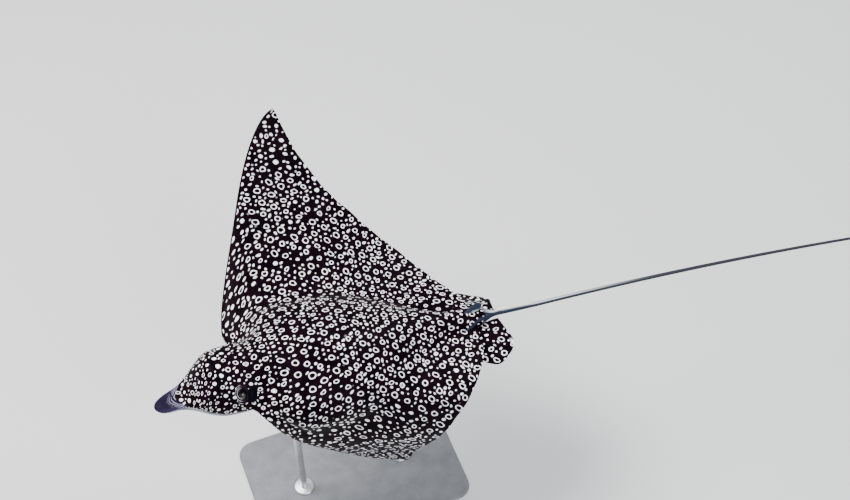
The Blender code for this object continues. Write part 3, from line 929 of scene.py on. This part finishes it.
def makeHide():
    material, tree, shader = newMaterial("spottedHide")
    place = uvPlace(tree, "marks")
    chart = uvPlace(tree, "chart")
    zones = addNode(tree, "ShaderNodeAttribute", attribute_name="zones")
    upper, body, fin = split(tree, zones.outputs["Color"], colour=True)
    rim = zones.outputs["Alpha"]
    side = split(tree, chart)[0]
    margin, out, station = marginNodes(tree, chart)
    mottle, relief = addGrain(tree, 0.06)
    pelvicOnly = minus(tree, minus(tree, 1.0, body), fin, clamp=True)

    # where the spots stop: a plain band along the leading edge, the bill, the tail and the openings
    marks = spotNodes(tree, place)
    leading = times(tree, ramp(tree, station, 0.36, 0.34), ramp(tree, station, 0.160, 0.178))
    wider = times(tree, ramp(tree, side, 0.16, 0.26), -0.010)
    band = ramp(tree, plus(tree, margin, wider), *hide["bandRun"])
    fromTip = linear(tree, times(tree, rim, rim), -0.016, station)
    onBill = ramp(tree, fromTip, 0.0410, 0.0375)
    onTail = times(tree, ramp(tree, station, 0.640, 0.660), body)
    # painted shade: a slate stripe without marks along the crease where the pelvic fin meets the body beside
    # the tail base
    crease = plus(tree, out, linear(tree, station, 0.27, -0.1863))
    wider = ramp(tree, station, 0.590, 0.640, 0.35, 1.0)
    crease = calc(tree, "DIVIDE", calc(tree, "ABSOLUTE", crease), wider)
    flankShade = times(tree, ramp(tree, crease, 0.0027, 0.0010), ramp(tree, station, 0.585, 0.600))
    spiracle = ovalMask(tree, out, station, carving["spiracle"]["at"], carving["spiracle"]["radii"], 0.12)
    lids = ovalMask(tree, out, station, (eye["station"], hide["lids"]["centre"]), hide["lids"]["radii"], 0.10)
    bare = largest(tree, times(tree, leading, band), onBill, onTail, flankShade, fin, spiracle, lids)
    marks = times(tree, marks, minus(tree, 1.0, bare))

    ground = blendColours(tree, mottle, hide["ground"], hide["groundWarm"])
    back = blendColours(tree, marks, ground, hide["ring"])
    # the crease's painted shade in slate
    back = blendColours(tree, flankShade, back, hide["slate"])

    # fine pale folds across the bill and in front of the eye
    ragged = noise(tree, place, 36.0, 1.0)
    lines = linear(tree, ragged, 0.0110, fromTip)
    lines = ramp(tree, calc(tree, "SINE", times(tree, lines, 1650.0)), 0.25, 0.85)
    breaks = ramp(tree, noise(tree, place, 90.0, 1.0), 0.36, 0.46)
    lines = times(tree, lines, breaks, ramp(tree, fromTip, 0.0200, 0.0340))
    billSkin = blendColours(tree, ramp(tree, rim, 0.5, 1.0), hide["bill"], hide["billEdge"])
    billSkin = blendColours(tree, times(tree, lines, 0.65), billSkin, hide["billLine"])
    back = blendColours(tree, onBill, back, billSkin)
    across = calc(tree, "DIVIDE", minus(tree, out, hide["lids"]["centre"]), 0.60)
    along = minus(tree, station, eye["station"])
    fromEye = length(tree, across, along)
    folds = calc(tree, "SINE", times(tree, fromEye, 2100.0))
    folds = times(tree, ramp(tree, folds, 0.58, 0.98), lids, ramp(tree, fromEye, 0.0065, 0.0080))
    shownFolds = times(tree, folds, ramp(tree, along, 0.001, -0.006, 0.03, 0.62))
    back = blendColours(tree, shownFolds, back, hide["ring"])
    # painted shade inside the spiracle's opening
    back = blendColours(tree, spiracle, back, hide["spiracle"])

    # the tail has a painted highlight along its top and painted shade, in slate, on its sides near the base;
    # the small fin behind is slate
    # painted highlight along the tail's top
    pale = times(tree, ramp(tree, station, 1.05, 0.76), ramp(tree, rim, 0.50, 0.22))
    # painted shade in slate on the tail's base, then its own dark colour
    tailSkin = blendColours(tree, ramp(tree, station, 0.78, 0.70), hide["tailDark"], hide["slate"])
    tailSkin = blendColours(tree, pale, tailSkin, hide["tailHighlightAndPatch"])
    back = blendColours(tree, onTail, back, tailSkin)
    finSkin = blendColours(tree, ramp(tree, relief, 0.3, 0.7), hide["slate"], hide["slateLight"])
    height, behind, z = split(tree, place)
    patch = times(tree, ramp(tree, height, 0.0085, 0.0055), ramp(tree, behind, 0.616, 0.624))
    finSkin = blendColours(tree, patch, finSkin, hide["tailHighlightAndPatch"])
    back = blendColours(tree, fin, back, finSkin)
    edging = times(tree, ramp(tree, rim, 0.45, 0.70), pelvicOnly, ramp(tree, out, 0.056, 0.068))
    back = blendColours(tree, edging, back, hide["ring"])

    # underneath: white, dusky towards the wings' margins, with painted shade under the head that grows
    # towards the snout
    duskAndShade = times(tree, ramp(tree, margin, 0.050, 0.004), ramp(tree, mottle, -0.2, 1.2, 0.55, 1.0))
    # painted shade under the head, stronger towards the snout
    duskAndShade = largest(tree, duskAndShade, ramp(tree, station, 0.165, 0.060, 0.0, 0.55))
    duskAndShade = times(tree, duskAndShade, body)
    blush = blendColours(tree, mottle, hide["belly"], hide["bellyWarm"])
    belly = blendColours(tree, duskAndShade, blush, hide["bellyDuskAndShade"])
    # painted shade in the belly's recesses: the nostrils, the mouth's line with its grooves and cleft, the
    # gill slits and the vent
    dark = ovalMask(tree, out, station, carving["nostril"]["at"], carving["nostril"]["radii"], 0.25)
    mouth = carving["mouth"]
    bow = times(tree, out, out, mouth["curve"] / mouth["halfWidth"] ** 2)
    offLine = minus(tree, minus(tree, station, mouth["station"]), bow)
    lips = ramp(tree, calc(tree, "ABSOLUTE", offLine), 0.0022, 0.0008)
    lips = times(tree, lips, ramp(tree, out, 0.0265, 0.0240))
    groove = ramp(tree, calc(tree, "ABSOLUTE", minus(tree, out, 0.0222)), 0.0012, 0.0003)
    groove = times(tree, groove, ramp(tree, station, 0.0850, 0.0870),
                   ramp(tree, station, 0.0990, 0.0980, 0.0, 0.8))
    cleft = times(tree, ramp(tree, out, 0.0014, 0.0004), ramp(tree, station, 0.0900, 0.0950, 0.0, 0.7),
                  ramp(tree, station, 0.0985, 0.0975))
    dark = largest(tree, dark, lips, groove, cleft)
    spec = carving["gills"]
    for k in range(spec["count"]):
        slitStation, slitOffset = gillPlace(k)
        share = calc(tree, "DIVIDE", minus(tree, out, slitOffset), spec["halfWidth"])
        bow = times(tree, share, share, spec["bow"])
        offLine = minus(tree, minus(tree, station, slitStation), bow)
        slitShade = ramp(tree, calc(tree, "ABSOLUTE", offLine), 0.0013, 0.0003)
        slitShade = times(tree, slitShade, ramp(tree, calc(tree, "ABSOLUTE", share), 1.0, 0.8))
        dark = largest(tree, dark, slitShade)
    vent = ovalMask(tree, out, station, (carving["vent"]["at"][0], 0.0), (0.0070, 0.0012), 0.3)
    dark = largest(tree, dark, vent)
    dark = times(tree, dark, minus(tree, body, upper, clamp=True))
    # the recesses' painted shade
    belly = blendColours(tree, times(tree, dark, 0.85), belly, hide["slitShade"])
    belly = blendColours(tree, onTail, belly, hide["tailDark"])
    belly = blendColours(tree, fin, belly, finSkin)
    tree.links.new(blendColours(tree, upper, belly, back), shader.inputs["Base Color"])

    rough = ramp(tree, relief, 0.3, 0.7, 0.36, 0.50)
    tree.links.new(rough, shader.inputs["Roughness"])
    shader.inputs["Specular IOR Level"].default_value = hide["specular"]

    # relief: fine grain, faint rays that run out along the wings, the folds and the slits
    x, y, z = split(tree, place)
    rays = noise(tree, join(tree, times(tree, x, 14.0), times(tree, y, 170.0)), 1.0)
    rays = times(tree, rays, ramp(tree, out, 0.10, 0.20))
    first = bump(tree, rays, 0.30, 0.0016)
    second = bump(tree, relief, 0.25, 0.0007, first)
    grooves = minus(tree, times(tree, folds, upper, 0.4), dark)
    tree.links.new(bump(tree, grooves, 0.6, 0.0016, second), shader.inputs["Normal"])
    return material


skinPiece.data.materials.append(makeHide())
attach(skinPiece, "root")
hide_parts("snout", "head", "trunk", "wing_left", "wing_right", "pelvic_fin_left",
            "pelvic_fin_right", "dorsal_fin", "tail_base", "tail_middle", "tail_tip")
print("hide painted")


def buildEye(name, sign):
    build = bmesh.new()
    radius = eye["radius"] * ray["discWidth"]
    bmesh.ops.create_uvsphere(build, u_segments=40, v_segments=26, radius=radius)
    gaze = build.loops.layers.uv.new("gaze")
    for face in build.faces:
        for loop in face.loops:
            p = loop.vert.co.normalized()
            turn = math.acos(max(-1.0, min(1.0, p.z))) / math.pi
            angle = math.atan2(p.y, p.x)
            loop[gaze].uv = (0.5 + 0.5 * turn * math.cos(angle), 0.5 + 0.5 * turn * math.sin(angle))
    for vert in build.verts:  # the clear front of the eye stands a little proud
        up = max(0.0, vert.co.z / radius - 0.72) / 0.28
        vert.co.z += eye["proud"] * radius * up * (2.0 - up)
    turned = eyeLook(sign).to_track_quat("Z", "Y").to_matrix().to_4x4()
    seated = Matrix.Translation(Vector(eyeCentre(sign))) @ turned
    bmesh.ops.transform(build, matrix=seated, verts=build.verts)
    return makePiece(name, build)


def makeEyeMaterial():
    material, tree, shader = newMaterial("wetEye")
    x, y, z = split(tree, uvPlace(tree, "gaze"))
    x = minus(tree, x, 0.5)
    y = minus(tree, y, 0.5)
    away = times(tree, length(tree, x, y), 4.0)
    angle = calc(tree, "ARCTAN2", y, x)
    streaks = noise(tree, join(tree, times(tree, angle, 6.0), away), 3.0, 3.0)
    colour = blendColours(tree, streaks, eye["irisDark"], eye["irisLight"])
    for low, high, ring in ((eye["iris"] - 0.10, eye["iris"], "irisRim"),
                            (eye["iris"], eye["iris"] + 0.05, "ball"),
                            (eye["pupil"] + 0.02, eye["pupil"] - 0.02, "black")):
        colour = blendColours(tree, ramp(tree, away, low, high), colour, eye[ring])
    tree.links.new(colour, shader.inputs["Base Color"])
    shader.inputs["Roughness"].default_value = 0.08
    shader.inputs["Coat Weight"].default_value = 0.25
    shader.inputs["Coat Roughness"].default_value = 0.03
    return material


eyeMaterial = makeEyeMaterial()
for name, sign in (("eye_left", 1.0), ("eye_right", -1.0)):
    ball = buildEye(name + "_ball", sign)
    ball.data.materials.append(eyeMaterial)
    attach(ball, "root")
    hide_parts(name)
print("eyes set")


sting = {
    "sting_upper": {"start": 0.672, "length": 0.085, "lift": 0.0040},
    "sting_lower": {"start": 0.680, "length": 0.070, "lift": 0.0020},
    "halfWidth": 0.0022,
    "thickness": 0.0009,
    "barbs": 34,
    "barbReach": 0.20,
    "grooveDepth": 0.18,
    "upturn": 0.0008,
    "dark": (0.60, 0.56, 0.46, 1.0),
    "light": (0.78, 0.76, 0.68, 1.0),
}


def buildSting(name):
    spec = sting[name]
    build = bmesh.new()
    for face in (1.0, -1.0):
        bmesh.ops.create_grid(build, x_segments=10, y_segments=6 * sting["barbs"], size=0.5,
                              matrix=Matrix.Translation((0.0, 0.0, face)))
    for vert in build.verts:
        t = vert.co.y + 0.5
        f = vert.co.x * 2.0
        a = spec["start"] + spec["length"] * t
        half = sting["halfWidth"] * (1.0 - 0.85 * t ** 1.5) * min(1.0, (1.0 - t) * 12.0)
        if abs(f) > 0.85:
            tooth = (t * sting["barbs"]) % 1.0
            half = half * (1.0 + sting["barbReach"] * (1.0 - tooth) * min(1.0, t * 8.0))
        thick = sting["thickness"] * (1.0 - 0.6 * t)
        groove = sting["grooveDepth"] * math.exp(-((abs(f) - 0.55) / 0.16) ** 2)
        if abs(f) > 0.99:
            rise = 0.12 * thick
        elif vert.co.z > 0.0:
            rise = thick * (1.0 - 0.5 * f * f - groove)
        else:
            rise = -0.5 * thick * (1.0 - f * f)
        level = float(tailLevel(a)) + float(tailRadius(a)) + spec["lift"] + sting["upturn"] * t + rise
        x = half * f + float(tailDrift(a))
        vert.co = Vector(inMetres(np.array(x), np.array(a - ray["originStation"]), np.array(level)))
    bmesh.ops.remove_doubles(build, verts=build.verts, dist=1e-6)
    bmesh.ops.recalc_face_normals(build, faces=build.faces)
    return makePiece(name + "_spine", build)


def grainyMaterial(name, size, dark, light, rough, relief):  # two tones and a finely rough finish
    material, tree, shader = newMaterial(name)
    mottle, grain = addGrain(tree, size)
    tree.links.new(blendColours(tree, mottle, dark, light), shader.inputs["Base Color"])
    tree.links.new(ramp(tree, grain, 0.3, 0.7, *rough), shader.inputs["Roughness"])
    tree.links.new(bump(tree, grain, *relief), shader.inputs["Normal"])
    return material


stingMaterial = grainyMaterial("stingBone", 0.012, sting["dark"], sting["light"], (0.32, 0.5), (0.3, 0.0003))
for name in ("sting_upper", "sting_lower"):
    spine = buildSting(name)
    spine.data.materials.append(stingMaterial)
    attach(spine, "root")
    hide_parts(name)
print("stings laid along the tail")


stand = {
    "paintDark": (0.115, 0.120, 0.130, 1.0),
    "paintLight": (0.150, 0.156, 0.168, 1.0),
    "steelDark": (0.50, 0.51, 0.53, 1.0),
    "steelLight": (0.60, 0.61, 0.63, 1.0),
    "brush": (40.0, 40.0, 900.0),
}


def makeRodSteel():
    material, tree, shader = newMaterial("brushedRod")
    place = addNode(tree, "ShaderNodeTexCoord").outputs["Object"]
    brush = noise(tree, vectorCalc(tree, "MULTIPLY", place, stand["brush"]), 1.0, 3.0, 0.6)
    mottle = addGrain(tree, 0.06)[0]
    colour = blendColours(tree, mottle, stand["steelDark"], stand["steelLight"])
    tree.links.new(colour, shader.inputs["Base Color"])
    tree.links.new(ramp(tree, brush, 0.3, 0.7, 0.24, 0.42), shader.inputs["Roughness"])
    tree.links.new(bump(tree, brush, 0.12, 0.0002), shader.inputs["Normal"])
    shader.inputs["Metallic"].default_value = 1.0
    return material


def repaint(node, material):
    mesh = nodes[node].data
    if mesh.materials:
        for i in range(len(mesh.materials)):
            mesh.materials[i] = material
    else:
        mesh.materials.append(material)


basePaint = grainyMaterial("standPaint", 0.05, stand["paintDark"], stand["paintLight"],
                           (0.42, 0.56), (0.22, 0.0004))
repaint("stand_base", basePaint)
rodSteel = makeRodSteel()
repaint("stand_rod_front", rodSteel)
repaint("stand_rod_rear", rodSteel)
print("stand finished")


studio = {
    "floor": (0.60, 0.60, 0.595, 1.0),
    "sky": (0.86, 0.90, 0.95, 1.0),
    "skyStrength": 0.80,
    "key": {"place": (-1.6, -2.4, 5.4), "size": 3.0, "power": 680.0, "colour": (1.0, 0.99, 0.97)},
    "fill": {"place": (3.8, 1.2, 3.4), "size": 3.2, "power": 190.0, "colour": (0.92, 0.96, 1.0)},
    "rim": {"place": (-1.6, 4.4, 4.2), "size": 2.4, "power": 180.0, "colour": (0.96, 0.98, 1.0)},
}


def buildStudio():
    build = bmesh.new()
    bmesh.ops.create_grid(build, x_segments=1, y_segments=1, size=40.0)
    mesh = bpy.data.meshes.new("floor")
    build.to_mesh(mesh)
    build.free()
    floor = bpy.data.objects.new("floor", mesh)
    scene.collection.objects.link(floor)
    material, tree, shader = newMaterial("paleFloor")
    shader.inputs["Base Color"].default_value = studio["floor"]
    shader.inputs["Roughness"].default_value = 0.75
    mesh.materials.append(material)
    world = bpy.data.worlds.new("softRoom")
    world.use_nodes = True
    world.node_tree.nodes["Background"].inputs[0].default_value = studio["sky"]
    world.node_tree.nodes["Background"].inputs[1].default_value = studio["skyStrength"]
    scene.world = world
    for name in ("key", "fill", "rim"):
        spec = studio[name]
        light = bpy.data.lights.new(name, "AREA")
        light.shape = "DISK"
        light.size = spec["size"]
        light.energy = spec["power"]
        light.color = spec["colour"]
        lamp = bpy.data.objects.new(name, light)
        lamp.location = spec["place"]
        aim = Vector((-0.1, 0.0, 0.8)) - Vector(spec["place"])
        lamp.rotation_euler = aim.to_track_quat("-Z", "Y").to_euler()
        scene.collection.objects.link(lamp)


view = {
    "place": (2.1868, -0.5985, 4.3747),
    "heading": 21.490,   # degrees from -X towards +Y
    "dip": 53.898,       # degrees below level
    "lens": 60.03,
}


def setCamera():
    heading = math.radians(view["heading"])
    dip = math.radians(view["dip"])
    look = Vector((-math.cos(dip) * math.cos(heading), math.cos(dip) * math.sin(heading), -math.sin(dip)))
    right = look.cross(Vector((0.0, 0.0, 1.0))).normalized()
    camera = bpy.data.cameras.new("camera")
    camera.lens = view["lens"]
    camera.sensor_width = 36.0
    holder = bpy.data.objects.new("camera", camera)
    axes = Matrix((right, right.cross(look), -look)).transposed().to_4x4()
    holder.matrix_world = Matrix.Translation(Vector(view["place"])) @ axes
    scene.collection.objects.link(holder)
    scene.camera = holder


buildStudio()
setCamera()
print("studio and camera set")
